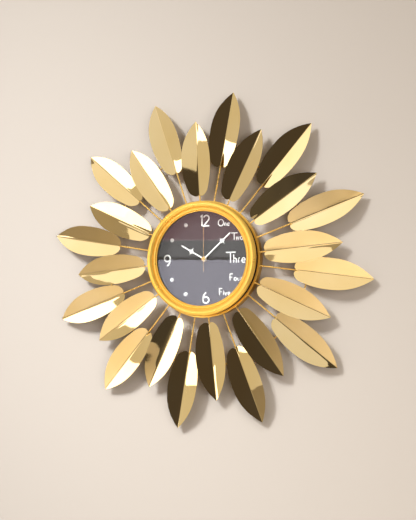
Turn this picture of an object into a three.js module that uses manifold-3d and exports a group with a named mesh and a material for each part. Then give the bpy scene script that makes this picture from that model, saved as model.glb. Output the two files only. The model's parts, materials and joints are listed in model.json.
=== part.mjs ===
// A sunburst wall clock: two layers of folded sheet-metal petals on a wire frame round a drum case.
// Millimetres, +Z up. The dial faces -Y and the wall is the plane y = 0.
// The origin is where the wall hook carries the keyhole; the hands turn about an axis below it.
// Depths are distances from the wall towards the viewer, so depth d is y = -d.

import * as THREE from 'three';
import { mergeVertices } from 'three/addons/utils/BufferGeometryUtils.js';
import Module from 'manifold-3d';

const wasm = await Module();
wasm.setup();

// ---- driving dimensions ----

const GAP = 0.3;                 // air left between pieces that touch
const ROUND = 48;                // facets of a large round piece
const SMALL_ROUND = 24;          // of a bush, nut or hole
const PIN_ROUND = 12;            // of a pivot or wire-thin part
const HANG_DROP = 103.5;         // from the hook down to the hands' axis

const WIRE_RADIUS = 1.5;
const WIRE_FACETS = 6;
const HUB_RADIUS = 121.5;        // outside of the band that the stems are brazed into
const HUB_BORE = 119;
const HUB_FLANGE = 123.5;
const HUB_BACK = 19.7;
const HUB_FRONT = 29;
const FLANGE_THICKNESS = 1.5;
const ROOT_RADIUS = 120;         // where a stem starts, inside the band
const LEAN_BACK = 2.5;           // degrees that every stem slopes towards the wall
const SUPPORT_RADIUS = 224;
const STEM_INTO_BAND = 0.2;
const BRAZE_DEPTH = 0.5;         // how far the support ring sinks into the stems

const PETAL_LENGTH = 162;
const PETAL_HALF_WIDTH = 32;
const PETAL_FOLD = 22;           // degrees that each half rises from the crease
const PETAL_SHEET = 0.8;
const PETAL_WIDEST = 0.44;       // share of the length, from the base
const PETAL_STEM_SHARE = 0.62;   // share of the length that the stem backs
const PETAL_STEP = 15;
const FIRST_PETAL = 10;          // degrees clockwise from 12

const LAYERS = {
  outer: { base: 198, rootDepth: 21.5 },
  inner: { base: 135, rootDepth: 26 },
};

// A few petals are brazed on a little round from their even places, in degrees clockwise.
const ASKEW = {
  petal_outer_04: -2, petal_outer_05: -1, petal_outer_11: 1, petal_outer_12: 1, petal_inner_12: 1,
};

const SHELF_BACK = 18.1;
const SHELF_FRONT = 19.4;
const SHELF_BORE = 106;
const DRUM_WALL = 1.5;
const DRUM_LIP_BORE = 116;
const DRUM_LIP = 1.2;

const DIAL_BACK = SHELF_FRONT + GAP;
const DIAL_FRONT = DIAL_BACK + 1.4;
const DIAL_RADIUS = 117;
const SLEEVE_BACK = DIAL_FRONT + GAP;
const SLEEVE_BORE = 103.5;
const SLEEVE_OUTSIDE = 105;
const SLEEVE_FOOT = 117.5;
const SLEEVE_FRONT = 40;
const LENS_BACK = SLEEVE_FRONT + GAP;
const LENS_FRONT = LENS_BACK + 2.3;
const LENS_RADIUS = 107.5;
const RETAINER_OUTSIDE = LENS_RADIUS + 0.2;
const BEZEL_REBATE = LENS_RADIUS + 0.6;  // bore of the step that the lens sits in
const SLEEVE_FOOT_THICKNESS = 1;
const LIP_BORE = 99.2;
const BEZEL_BACK = 38;
const RETAINER_BACK = BEZEL_BACK + GAP;
const RADIAL_GAP = 0.4;          // air round a ring that sits in or on another

const STUD_CIRCLE = 85;
const STUD = { radius: 4.5, girdle: 0.8, height: 2.6, tableShare: 0.6, facets: 12 };
const STUD_HOURS = [7, 8, 10, 11];
const DIAL_BORE = 4.6;
const NUT = { radius: 6, front: 23.2 };
const WASHER_RADIUS = 12;

const HOUR_HAND = { angle: 300.5, length: 60, tail: 0, width: 2.8, star: 33, hub: 5, bore: 3.15, back: 24.2 };
const MINUTE_HAND = {
  angle: 47.5, length: 80, tail: 0, width: 2.8, star: 55, hub: 4.2, bore: 2.15, back: 26.2,
};
const SECOND_HAND = { angle: 0, length: 68, tail: 27, width: 0.7, star: 0, hub: 4.4, bore: 1.1, back: 28.2 };
const HAND_SHEET = 0.8;
const HAND_POINT = 3;            // length of the tapered end
const STAR_LONG = 9;
const STAR_SHORT = 6;
const STAR_WAIST = 3.2;

const HOUR_PIPE = { bore: 2.2, radius: 2.8, front: 25.6 };
const MINUTE_PIPE = { bore: 1.1, radius: 1.8, front: 27.6 };
const PIPE_BEHIND = 0.3;         // how far a pipe stands out behind its wheel
const SECOND_ARBOR = { radius: 0.75, front: 29.6 };
const BUSH = { bore: 3.2, radius: 4.2, front: 23.4 };

const HOUSING = { halfWidth: 28, bottom: -30.8, top: 27.2, back: 4.9, front: 18.6, wall: 1.4, face: 1.1 };
const BAY_TOP = -14.7;
const BAY_BOTTOM = -29.6;
const TRAIN_BOTTOM = -13.5;
const COVER_BACK = 3.4;
const COVER_INSET = 0.6;         // the cover stops above the battery bay
const COVER_FRONT = HOUSING.back - GAP;
const BATTERY = { radius: 7.05, half: 24, nub: 2.7, nubLength: 1.1, z: -22.15, depth: 10.1 };

// Depths of the back faces of the six planes of gears, from the cover towards the dial.
const GEAR_SHEET = 1;
const PINION_LEAVES = 6;
const TEETH = {
  intermediate: 36, seconds: 30, third: 45, centre: 48, minute: 10, motion: 30, motionPinion: 8, hour: 32,
};
const PIVOT_RADIUS = 0.6;
const PIVOT_BEHIND = 0.5;        // how far a pivot stands out behind its wheel
const PIVOT_BEFORE = 0.7;        // and in front of it
const ROTOR_MAGNET = { radius: 3, back: 6.9, front: 9.4, pivotFront: 10.6 };
const CENTRE_CLEARANCE = 0.4;    // round the minute pipe, where the clutch slips
const MOTION_PIVOT_RADIUS = 0.8;
const KNOB = { stem: 1, stemBack: 2.5, radius: 5, back: 0.6 };
const COVER_HOLE = 1.5;

const STATOR = {
  left: -25, right: -9, bottom: 3, top: 24.2, legWidth: 3.5, legFrom: 13.4, hole: 3.6, back: 7.4,
};
const COIL = { cheek: 3.5, winding: 3, half: 4.2, cheekWidth: 0.8, x: -17, depth: 9, z: 20.6 };
const BOARD = { left: 11, right: 26, back: 14, front: 14.8, bottom: 8, top: 25 };
const CRYSTAL = { radius: 1, length: 6, x: 19, depth: 12.6, z: 20 };
const CONTACT = { x: 25.7, halfSheet: 0.25, back: 6, front: 15, halfHeight: 4.7 };
const PLANE = { rotor: 5.3, seconds: 7.2, third: 9.1, centre: 11, motion: 12.9, hour: 14.8 };

const HANGER = { halfWidth: 32, bottom: 86, top: 108, back: 0.4, sheet: 1.5, hole: 5, holeZ: 92, slot: 2.5 };

// ---- finishes ----

function finish(color, roughness, metalness) {
  return () => new THREE.MeshStandardMaterial({ color, roughness, metalness });
}

const mirrorGold = finish(0xe6bd62, 0.08, 1);
const satinGold = finish(0xe0a62c, 0.32, 1);
const blackPaint = finish(0x17171a, 0.5, 0);
const dialPaint = finish(0x2b2c30, 0.35, 0);
const whitePaint = finish(0xf2f2f0, 0.4, 0);
const clearGlass = finish(0xdfe8ec, 0.03, 0);
const cutCrystal = finish(0xf4f4f8, 0.08, 0);
const blackPlastic = finish(0x1d1e20, 0.55, 0);
const whitePlastic = finish(0xe6e4dc, 0.5, 0);
const steel = finish(0xb9bcc0, 0.35, 1);
const brass = finish(0xc9a04a, 0.3, 1);
const rubber = finish(0x111112, 0.8, 0);
const boardGreen = finish(0x1f5a34, 0.5, 0);
const copper = finish(0xb4622c, 0.35, 1);
const batterySleeve = finish(0x3d5f86, 0.3, 0.2);

// ---- solids ----

const degrees = THREE.MathUtils.degToRad;

// Joins shared corners, drops collapsed faces and turns the surface outward.
function weld(geometry) {
  const bare = geometry.clone();
  bare.deleteAttribute('normal');
  bare.deleteAttribute('uv');
  const merged = mergeVertices(bare, 1e-4);
  const corners = merged.getAttribute('position');
  const [a, b, c] = [new THREE.Vector3(), new THREE.Vector3(), new THREE.Vector3()];
  const faces = [];
  let volume = 0;
  for (let i = 0; i < merged.index.count; i += 3) {
    const face = [merged.index.getX(i), merged.index.getX(i + 1), merged.index.getX(i + 2)];
    if (new Set(face).size < 3) continue;
    faces.push(face);
    a.fromBufferAttribute(corners, face[0]);
    b.fromBufferAttribute(corners, face[1]);
    c.fromBufferAttribute(corners, face[2]);
    volume += a.dot(b.cross(c));
  }
  merged.clearGroups();
  merged.setIndex(faces.flatMap(([p, q, r]) => (volume < 0 ? [p, r, q] : [p, q, r])));
  return merged;
}

function toManifold(geometry) {
  const welded = weld(geometry);
  return new wasm.Manifold(new wasm.Mesh({
    numProp: 3,
    vertProperties: new Float32Array(welded.getAttribute('position').array),
    triVerts: new Uint32Array(welded.index.array),
  }));
}

function toGeometry(manifold) {
  const mesh = manifold.getMesh();
  const geometry = new THREE.BufferGeometry();
  geometry.setAttribute('position', new THREE.BufferAttribute(mesh.vertProperties, 3));
  geometry.setIndex(new THREE.BufferAttribute(mesh.triVerts, 1));
  return geometry;
}

function join(first, ...others) {
  return toGeometry(others.reduce((sum, other) => sum.add(toManifold(other)), toManifold(first)));
}

function cut(body, ...tools) {
  return toGeometry(tools.reduce((rest, tool) => rest.subtract(toManifold(tool)), toManifold(body)));
}

// A piece turned about the hands' axis, from [radius, depth] corners.
function turned(corners, facets = ROUND) {
  const points = corners.map(([radius, depth]) => new THREE.Vector2(radius, -depth));
  const onAxis = corners[0][0] === 0;
  return new THREE.LatheGeometry(onAxis ? points : [...points, points[0]], facets);
}

function tube(bore, radius, back, front, facets = ROUND) {
  return turned([[bore, back], [radius, back], [radius, front], [bore, front]], facets);
}

// A solid round bar along the depth direction, centred at x, z.
function bar(radius, back, front, x = 0, z = 0, facets = 16) {
  const geometry = new THREE.CylinderGeometry(radius, radius, front - back, facets);
  return geometry.translate(x, -(back + front) / 2, z);
}

function block(x0, x1, back, front, z0, z1) {
  const geometry = new THREE.BoxGeometry(x1 - x0, front - back, z1 - z0);
  return geometry.translate((x0 + x1) / 2, -(back + front) / 2, (z0 + z1) / 2);
}

// A flat sheet: the outline is drawn as the viewer sees it, x right and y up.
function sheet(outline, back, thickness, curveSegments = 12) {
  const options = { depth: thickness, bevelEnabled: false, curveSegments };
  const geometry = new THREE.ExtrudeGeometry(outline, options);
  return geometry.rotateX(Math.PI / 2).translate(0, -back, 0);
}

function outline(points) {
  return new THREE.Shape(points.map(([x, y]) => new THREE.Vector2(x, y)));
}

// Wire along local +Z, from one distance to another.
function wire(from, to) {
  const geometry = new THREE.CylinderGeometry(WIRE_RADIUS, WIRE_RADIUS, to - from, WIRE_FACETS);
  return geometry.rotateX(Math.PI / 2).translate(0, 0, (from + to) / 2);
}

// ---- the object ----

const clock = new THREE.Group();
clock.position.z = -HANG_DROP;

function place(name, geometry, material, matrix = null) {
  const mesh = new THREE.Mesh(weld(geometry), material());
  mesh.name = name;
  if (matrix) mesh.applyMatrix4(matrix);
  clock.add(mesh);
}

// ---- petals and their wire frame ----

const petalPlaces = Array.from({ length: 360 / PETAL_STEP }, (_, i) => i);
const layerOf = (spot) => (spot % 2 === 0 ? 'outer' : 'inner');

function petalName(spot) {
  const number = String(Math.floor(spot / 2) + 1).padStart(2, '0');
  return `petal_${layerOf(spot)}_${number}`;
}

// The frame of a petal's stem: +Z runs out along the stem from its root in the hub band.
function stemMatrix(spot, layer) {
  const around = degrees(FIRST_PETAL + PETAL_STEP * spot + (ASKEW[petalName(spot)] ?? 0));
  return new THREE.Matrix4()
    .makeRotationY(around)
    .multiply(new THREE.Matrix4().makeTranslation(0, -layer.rootDepth, ROOT_RADIUS))
    .multiply(new THREE.Matrix4().makeRotationX(-degrees(LEAN_BACK)));
}

function stemLength(layer) {
  return (layer.base - ROOT_RADIUS) / Math.cos(degrees(LEAN_BACK));
}

// The frame of the petal itself: +Z runs from its base to its tip, +X is clockwise round the clock.
function petalMatrix(spot, layer) {
  return stemMatrix(spot, layer).multiply(new THREE.Matrix4().makeTranslation(0, 0, stemLength(layer)));
}

// Half width of the leaf at a distance from its base: fullest before the middle, pointed at the tip.
function petalHalfWidth(along) {
  const t = along / PETAL_LENGTH;
  const towardsTip = Math.max(0, (t - PETAL_WIDEST) / (1 - PETAL_WIDEST));
  const towardsBase = Math.max(0, (PETAL_WIDEST - t) / PETAL_WIDEST);
  const body = 1 - towardsTip ** 2.45 - 0.445 * towardsBase ** 2;
  const corner = Math.min(1, (along + 2.2) / 11);
  return PETAL_HALF_WIDTH * body * Math.sqrt(1 - (1 - corner) ** 2);
}

// A leaf of sheet folded along its midrib, with the crease towards the wall.
function petal() {
  const stations = [-1.6, 1, 6, 18, 42, 72, 102, 126, 146, 161.9];
  const creaseBack = -(WIRE_RADIUS + GAP);
  const rise = Math.tan(degrees(PETAL_FOLD));
  const sheetDepth = PETAL_SHEET / Math.cos(degrees(PETAL_FOLD));
  const positions = [];
  for (const along of stations) {
    const half = petalHalfWidth(along);
    for (const side of [-1, 0, 1]) {
      const back = creaseBack - Math.abs(side) * half * rise;
      positions.push(side * half, back, along, side * half, back - sheetDepth, along);
    }
  }
  // corners of a section: 0 left back, 1 left front, 2 crease back, 3 crease front, 4 and 5 right
  const rim = [0, 2, 4, 5, 3, 1];
  const faces = [];
  const last = 6 * (stations.length - 1);
  for (let row = 0; row < last; row += 6) {
    rim.forEach((corner, i) => {
      const next = rim[(i + 1) % rim.length];
      faces.push(row + corner, row + next, row + 6 + next, row + corner, row + 6 + next, row + 6 + corner);
    });
  }
  for (const [p, q, r, s] of [[0, 1, 3, 2], [2, 3, 5, 4]]) {
    faces.push(p, q, r, p, r, s);
    faces.push(last + p, last + r, last + q, last + p, last + s, last + r);
  }
  const geometry = new THREE.BufferGeometry();
  geometry.setAttribute('position', new THREE.Float32BufferAttribute(positions, 3));
  geometry.setIndex(faces);
  return geometry;
}

for (const spot of petalPlaces) {
  place(petalName(spot), petal(), mirrorGold, petalMatrix(spot, LAYERS[layerOf(spot)]));
}

// The stems, the hub band with its flange and the support ring are brazed into one frame.
function petalFrame() {
  const flangeBack = HUB_FRONT - FLANGE_THICKNESS;
  const hub = turned([
    [HUB_BORE, HUB_BACK], [HUB_RADIUS, HUB_BACK], [HUB_RADIUS, flangeBack],
    [HUB_FLANGE, flangeBack], [HUB_FLANGE, HUB_FRONT], [HUB_BORE, HUB_FRONT],
  ]);
  const slope = Math.tan(degrees(LEAN_BACK));
  const stemDepth = LAYERS.outer.rootDepth - (SUPPORT_RADIUS - ROOT_RADIUS) * slope;
  const ringDepth = stemDepth - 2 * WIRE_RADIUS + BRAZE_DEPTH;
  const section = Array.from({ length: WIRE_FACETS }, (_, i) => {
    const angle = degrees(360 / WIRE_FACETS * i);
    return [SUPPORT_RADIUS + WIRE_RADIUS * Math.cos(angle), ringDepth + WIRE_RADIUS * Math.sin(angle)];
  });
  const stems = petalPlaces.map((spot) => {
    const layer = LAYERS[layerOf(spot)];
    const end = stemLength(layer) + PETAL_LENGTH * PETAL_STEM_SHARE;
    return wire(-STEM_INTO_BAND, end).applyMatrix4(stemMatrix(spot, layer));
  });
  return join(hub, turned(section), ...stems);
}

place('petal_frame', petalFrame(), satinGold);

// ---- case ----

place('case_drum', turned([
  [DRUM_LIP_BORE, 0], [HUB_RADIUS, 0], [HUB_RADIUS, SHELF_FRONT], [SHELF_BORE, SHELF_FRONT],
  [SHELF_BORE, SHELF_BACK], [HUB_RADIUS - DRUM_WALL, SHELF_BACK],
  [HUB_RADIUS - DRUM_WALL, DRUM_LIP], [DRUM_LIP_BORE, DRUM_LIP],
]), satinGold);

place('dial_surround', turned([
  [SLEEVE_BORE, SLEEVE_BACK], [SLEEVE_FOOT, SLEEVE_BACK], [SLEEVE_FOOT, SLEEVE_BACK + SLEEVE_FOOT_THICKNESS],
  [SLEEVE_OUTSIDE, SLEEVE_BACK + SLEEVE_FOOT_THICKNESS], [SLEEVE_OUTSIDE, SLEEVE_FRONT],
  [SLEEVE_BORE, SLEEVE_FRONT],
]), blackPaint);

// A broad rounded band outside, a groove, a bead, a groove and the inner lip.
place('bezel', turned([
  [LIP_BORE, LENS_FRONT + GAP], [LIP_BORE, 45.2], [100.8, 45], [103.9, 47.4], [106.6, 45.6],
  [109, 49.8], [113.4, 51.8], [118.1, 49.6], [120.8, 44.8], [118, BEZEL_BACK],
  [BEZEL_REBATE, BEZEL_BACK], [BEZEL_REBATE, LENS_FRONT + GAP],
]), satinGold);

place('glass_lens', turned([
  [0, LENS_BACK], [LENS_RADIUS, LENS_BACK], [LENS_RADIUS, LENS_FRONT], [0, LENS_FRONT],
]), clearGlass);

place('lens_retainer', tube(
  SLEEVE_OUTSIDE + RADIAL_GAP, RETAINER_OUTSIDE, RETAINER_BACK, SLEEVE_FRONT,
), blackPlastic);

function hanger() {
  const { halfWidth, bottom, top, back, sheet: thickness, hole, holeZ, slot } = HANGER;
  const strap = outline([
    [-halfWidth, back], [halfWidth, back], [halfWidth, SHELF_BACK - GAP],
    [halfWidth - thickness, SHELF_BACK - GAP], [halfWidth - thickness, back + thickness],
    [-halfWidth + thickness, back + thickness], [-halfWidth + thickness, SHELF_BACK - GAP],
    [-halfWidth, SHELF_BACK - GAP],
  ]);
  const bent = new THREE.ExtrudeGeometry(strap, { depth: top - bottom, bevelEnabled: false });
  bent.scale(1, -1, 1).translate(0, 0, bottom);
  const through = [back - 1, back + thickness + 1];
  const slotTop = HANG_DROP - slot;
  return cut(
    bent,
    bar(hole, ...through, 0, holeZ, SMALL_ROUND),
    bar(slot, ...through, 0, slotTop, SMALL_ROUND),
    block(-slot, slot, ...through, holeZ, slotTop),
  );
}

place('hanger_bracket', hanger(), steel);

// ---- dial and hands ----

place('dial', tube(DIAL_BORE, DIAL_RADIUS, DIAL_BACK, DIAL_FRONT), dialPaint);

for (const hour of STUD_HOURS) {
  const angle = degrees(30 * hour);
  const back = DIAL_FRONT + GAP;
  const stud = turned([
    [0, back], [STUD.radius, back], [STUD.radius, back + STUD.girdle],
    [STUD.radius * STUD.tableShare, back + STUD.height], [0, back + STUD.height],
  ], STUD.facets);
  const matrix = new THREE.Matrix4()
    .makeTranslation(STUD_CIRCLE * Math.sin(angle), 0, STUD_CIRCLE * Math.cos(angle));
  place(`dial_stud_${String(hour).padStart(2, '0')}`, stud, cutCrystal, matrix);
}

const roundBush = BUSH.radius + RADIAL_GAP;
place('dial_nut', tube(roundBush, NUT.radius, DIAL_FRONT + GAP, NUT.front, SMALL_ROUND), brass);
place('rubber_washer', tube(
  roundBush, WASHER_RADIUS, HOUSING.front + GAP, DIAL_BACK - GAP, SMALL_ROUND,
), rubber);

function star() {
  const points = Array.from({ length: 16 }, (_, i) => {
    const tip = i % 4 === 0 ? STAR_LONG : STAR_SHORT;
    const reach = i % 2 === 0 ? tip : STAR_WAIST;
    return [reach * Math.sin(degrees(22.5 * i)), reach * Math.cos(degrees(22.5 * i))];
  });
  return outline(points);
}

// A hand points up as drawn and is turned to its place on the dial.
function hand({ angle, length, tail, width, star: starAt, hub, bore, back }) {
  const point = Math.min(HAND_POINT, width);
  const blade = outline([
    [-width / 2, -tail], [width / 2, -tail], [width / 2, length - point], [0, length],
    [-width / 2, length - point],
  ]);
  const pieces = [sheet(blade, back, HAND_SHEET), bar(hub, back, back + HAND_SHEET, 0, 0, 20)];
  if (starAt) pieces.push(sheet(star(), back, HAND_SHEET).translate(0, 0, starAt));
  const solid = cut(join(...pieces), bar(bore, back - 1, back + HAND_SHEET + 1));
  return solid.rotateY(degrees(angle));
}

place('hour_hand', hand(HOUR_HAND), whitePaint);
place('minute_hand', hand(MINUTE_HAND), whitePaint);
place('second_hand', hand(SECOND_HAND), brass);

// ---- quartz movement: wheels ----

// A gear with pointed teeth; phase is the angle of one tooth, anticlockwise from +X as the viewer sees it.
function gear(teeth, module, phase, back, x = 0, z = 0, bore = 0) {
  const pitch = 360 / teeth;
  const root = module * (teeth / 2 - 1.1);
  const tip = module * (teeth / 2 + 0.9);
  const points = [];
  for (let tooth = 0; tooth < teeth; tooth += 1) {
    for (const [share, radius] of [[-0.27, root], [0, tip], [0.27, root]]) {
      const angle = degrees(phase + pitch * (tooth + share));
      points.push([radius * Math.cos(angle), radius * Math.sin(angle)]);
    }
  }
  const disc = outline(points);
  if (bore) disc.holes.push(new THREE.Path().absarc(0, 0, bore, 0, 2 * Math.PI, true));
  return sheet(disc, back, GEAR_SHEET, 8).translate(x, 0, z);
}

// The phase that puts a second gear in mesh with a first, given the bearing from first to second.
function meshPhase(phase, teeth, otherTeeth, bearing) {
  const pitch = 360 / teeth;
  const share = (((phase - bearing) % pitch) + pitch) % pitch / pitch;
  const otherPitch = 360 / otherTeeth;
  return bearing + 180 - share * otherPitch + otherPitch / 2;
}

// The point at a distance and bearing from another one.
function polar([x, z], distance, bearing) {
  return [x + distance * Math.cos(degrees(bearing)), z + distance * Math.sin(degrees(bearing))];
}

const AXIS = [0, 0];
const BEARING = { intermediate: 180, rotor: 120, third: 60, motion: -10, setting: 30 };
const SECONDS_MODULE = 0.55;
const ROTOR_MODULE = 0.45;
const MOTION_MODULE = 0.5;

// Distance between the axes of two meshed gears.
function apart(teeth, otherTeeth, module) {
  return (teeth + otherTeeth) / 2 * module;
}

const thirdDistance = apart(TEETH.third, PINION_LEAVES, SECONDS_MODULE);
const centreModule = thirdDistance * 2 / (TEETH.centre + PINION_LEAVES);
const motionDistance = apart(TEETH.motion, TEETH.minute, MOTION_MODULE);
const intermediateAt = polar(AXIS, apart(TEETH.seconds, PINION_LEAVES, SECONDS_MODULE), BEARING.intermediate);
const rotorDistance = apart(TEETH.intermediate, PINION_LEAVES, ROTOR_MODULE);
const rotorAt = polar(intermediateAt, rotorDistance, BEARING.rotor);
const thirdAt = polar(AXIS, thirdDistance, BEARING.third);
const motionAt = polar(AXIS, motionDistance, BEARING.motion);
const settingAt = polar(motionAt, motionDistance, BEARING.setting);

// Each wheel takes its phase from the one it meshes with, working outwards from the hands' axis.
place('seconds_wheel', join(
  gear(TEETH.seconds, SECONDS_MODULE, 0, PLANE.seconds),
  gear(PINION_LEAVES, SECONDS_MODULE, 0, PLANE.third),
  bar(SECOND_ARBOR.radius, PLANE.rotor, SECOND_ARBOR.front, 0, 0, PIN_ROUND),
), brass);

const intermediatePhase = meshPhase(0, TEETH.seconds, PINION_LEAVES, BEARING.intermediate);
place('intermediate_wheel', join(
  gear(PINION_LEAVES, SECONDS_MODULE, intermediatePhase, PLANE.seconds, ...intermediateAt),
  gear(TEETH.intermediate, ROTOR_MODULE, 0, PLANE.rotor, ...intermediateAt),
  bar(PIVOT_RADIUS, HOUSING.back, PLANE.seconds + GEAR_SHEET + PIVOT_BEFORE, ...intermediateAt, PIN_ROUND),
), whitePlastic);

const rotorPhase = meshPhase(0, TEETH.intermediate, PINION_LEAVES, BEARING.rotor);
place('rotor', join(
  gear(PINION_LEAVES, ROTOR_MODULE, rotorPhase, PLANE.rotor, ...rotorAt),
  bar(PIVOT_RADIUS, HOUSING.back, ROTOR_MAGNET.pivotFront, ...rotorAt, PIN_ROUND),
  bar(ROTOR_MAGNET.radius, ROTOR_MAGNET.back, ROTOR_MAGNET.front, ...rotorAt, 20),
), steel);

const thirdPhase = meshPhase(0, PINION_LEAVES, TEETH.third, BEARING.third);
place('third_wheel', join(
  gear(TEETH.third, SECONDS_MODULE, thirdPhase, PLANE.third, ...thirdAt),
  gear(PINION_LEAVES, centreModule, 0, PLANE.centre, ...thirdAt),
  bar(
    PIVOT_RADIUS, PLANE.third - PIVOT_BEHIND, PLANE.centre + GEAR_SHEET + PIVOT_BEFORE, ...thirdAt, PIN_ROUND,
  ),
), whitePlastic);

// The centre wheel slips on the minute pipe when the hands are set.
const centrePhase = meshPhase(0, PINION_LEAVES, TEETH.centre, BEARING.third + 180);
place('centre_wheel', gear(
  TEETH.centre, centreModule, centrePhase, PLANE.centre, 0, 0, MINUTE_PIPE.radius + CENTRE_CLEARANCE,
), brass);

place('minute_shaft', join(
  tube(MINUTE_PIPE.bore, MINUTE_PIPE.radius, PLANE.centre - PIPE_BEHIND, MINUTE_PIPE.front, 16),
  gear(TEETH.minute, MOTION_MODULE, 0, PLANE.motion, 0, 0, (MINUTE_PIPE.bore + MINUTE_PIPE.radius) / 2),
), brass);

const motionPhase = meshPhase(0, TEETH.minute, TEETH.motion, BEARING.motion);
place('motion_wheel', join(
  gear(TEETH.motion, MOTION_MODULE, motionPhase, PLANE.motion, ...motionAt),
  gear(TEETH.motionPinion, MOTION_MODULE, 0, PLANE.hour, ...motionAt),
  bar(
    MOTION_PIVOT_RADIUS, PLANE.motion - PIVOT_BEHIND, PLANE.hour + GEAR_SHEET + PIVOT_BEFORE,
    ...motionAt, PIN_ROUND,
  ),
), whitePlastic);

const hourPhase = meshPhase(0, TEETH.motionPinion, TEETH.hour, BEARING.motion + 180);
place('hour_wheel', join(
  gear(TEETH.hour, MOTION_MODULE, hourPhase, PLANE.hour, 0, 0, (HOUR_PIPE.bore + HOUR_PIPE.radius) / 2),
  tube(HOUR_PIPE.bore, HOUR_PIPE.radius, PLANE.hour - PIPE_BEHIND, HOUR_PIPE.front, 16),
), brass);

const settingPhase = meshPhase(motionPhase, TEETH.motion, TEETH.minute, BEARING.setting);
place('setting_knob', join(
  gear(TEETH.minute, MOTION_MODULE, settingPhase, PLANE.motion, ...settingAt),
  bar(KNOB.stem, KNOB.stemBack, PLANE.motion + GEAR_SHEET / 2, ...settingAt, PIN_ROUND),
  bar(KNOB.radius, KNOB.back, COVER_BACK - GAP, ...settingAt, SMALL_ROUND),
), whitePlastic);

// ---- quartz movement: housing, drive and battery ----

function housing() {
  const { halfWidth, bottom, top, back, front, wall, face } = HOUSING;
  const inside = halfWidth - wall;
  const shell = cut(
    block(-halfWidth, halfWidth, back, front, bottom, top),
    block(-inside, inside, back - 1, front - face, TRAIN_BOTTOM, top - wall),
    block(-inside, inside, back - 1, front - face, BAY_BOTTOM, BAY_TOP),
  );
  return cut(join(shell, bar(BUSH.radius, front - face / 2, BUSH.front, 0, 0, SMALL_ROUND)),
    bar(BUSH.bore, back, BUSH.front + 1, 0, 0, SMALL_ROUND));
}

place('movement_housing', housing(), blackPlastic);

place('movement_cover', cut(
  block(-HOUSING.halfWidth, HOUSING.halfWidth, COVER_BACK, COVER_FRONT, BAY_TOP + COVER_INSET, HOUSING.top),
  bar(COVER_HOLE, COVER_BACK - 1, COVER_FRONT + 1, ...settingAt),
), blackPlastic);

// A yoke of soft iron: a pole round the rotor and two legs up to the coil.
function stator() {
  const { left, right, bottom, top, legWidth, legFrom, hole, back } = STATOR;
  const yoke = outline([
    [left, bottom], [right, bottom], [right, top], [right - legWidth, top], [right - legWidth, legFrom],
    [left + legWidth, legFrom], [left + legWidth, top], [left, top],
  ]);
  yoke.holes.push(new THREE.Path().absarc(...rotorAt, hole, 0, 2 * Math.PI, true));
  return sheet(yoke, back, GEAR_SHEET, 10);
}

place('stator', stator(), steel);

// A bobbin lying across the yoke, wider at its two cheeks.
function coil() {
  const { cheek, winding, half, cheekWidth, x, depth, z } = COIL;
  const profile = [
    [0, -half], [cheek, -half], [cheek, cheekWidth - half], [winding, cheekWidth - half],
    [winding, half - cheekWidth], [cheek, half - cheekWidth], [cheek, half], [0, half],
  ];
  const bobbin = new THREE.LatheGeometry(profile.map(([r, y]) => new THREE.Vector2(r, y)), 16);
  return bobbin.rotateZ(Math.PI / 2).translate(x, -depth, z);
}

place('coil', coil(), copper);

place('circuit_board', block(
  BOARD.left, BOARD.right, BOARD.back, BOARD.front, BOARD.bottom, BOARD.top,
), boardGreen);

const crystalCan = new THREE.CylinderGeometry(CRYSTAL.radius, CRYSTAL.radius, CRYSTAL.length, PIN_ROUND);
crystalCan.rotateZ(Math.PI / 2).translate(CRYSTAL.x, -CRYSTAL.depth, CRYSTAL.z);
place('quartz_crystal', crystalCan, steel);

// The cell lies across the bay, with its raised terminal to the right.
function battery() {
  const { radius, half, nub, nubLength, z, depth } = BATTERY;
  const profile = [
    [0, -half], [radius, -half], [radius, half], [nub, half], [nub, half + nubLength],
    [0, half + nubLength],
  ];
  const cell = new THREE.LatheGeometry(profile.map(([r, y]) => new THREE.Vector2(r, y)), SMALL_ROUND);
  return cell.rotateZ(-Math.PI / 2).translate(0, -depth, z);
}

place('battery', battery(), batterySleeve);

for (const [name, side] of [['battery_contact_plus', 1], ['battery_contact_minus', -1]]) {
  const x = side * CONTACT.x;
  place(name, block(
    x - CONTACT.halfSheet, x + CONTACT.halfSheet, CONTACT.back, CONTACT.front,
    BATTERY.z - CONTACT.halfHeight, BATTERY.z + CONTACT.halfHeight,
  ), steel);
}

const group = new THREE.Group();
group.add(clock);

export default group;
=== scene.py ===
"""A sunburst wall clock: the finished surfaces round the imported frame.

Metres, +Z up, the dial faces -Y and the wall is the plane y = 0. A depth is a distance from the wall
towards the viewer, in millimetres, so depth d lies at y = -d / 1000.
"""

import json
import math

import bmesh
import bpy
import numpy as np
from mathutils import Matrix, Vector, noise


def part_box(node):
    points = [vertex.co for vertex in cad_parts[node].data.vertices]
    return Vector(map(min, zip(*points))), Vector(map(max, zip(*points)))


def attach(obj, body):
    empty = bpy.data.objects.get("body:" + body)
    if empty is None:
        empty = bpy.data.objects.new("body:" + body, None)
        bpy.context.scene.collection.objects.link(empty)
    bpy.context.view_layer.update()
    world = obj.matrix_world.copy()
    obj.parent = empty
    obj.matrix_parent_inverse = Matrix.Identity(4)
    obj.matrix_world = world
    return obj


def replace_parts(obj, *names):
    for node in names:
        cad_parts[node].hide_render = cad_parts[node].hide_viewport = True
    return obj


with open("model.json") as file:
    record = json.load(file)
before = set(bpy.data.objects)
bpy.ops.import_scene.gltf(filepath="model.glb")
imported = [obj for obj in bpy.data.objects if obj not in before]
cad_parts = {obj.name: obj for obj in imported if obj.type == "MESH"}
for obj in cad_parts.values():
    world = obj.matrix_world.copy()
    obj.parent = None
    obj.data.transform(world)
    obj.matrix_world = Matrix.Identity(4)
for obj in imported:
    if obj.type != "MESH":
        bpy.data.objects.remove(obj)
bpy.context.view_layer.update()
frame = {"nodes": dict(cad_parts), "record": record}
nodes = frame["nodes"]

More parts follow.
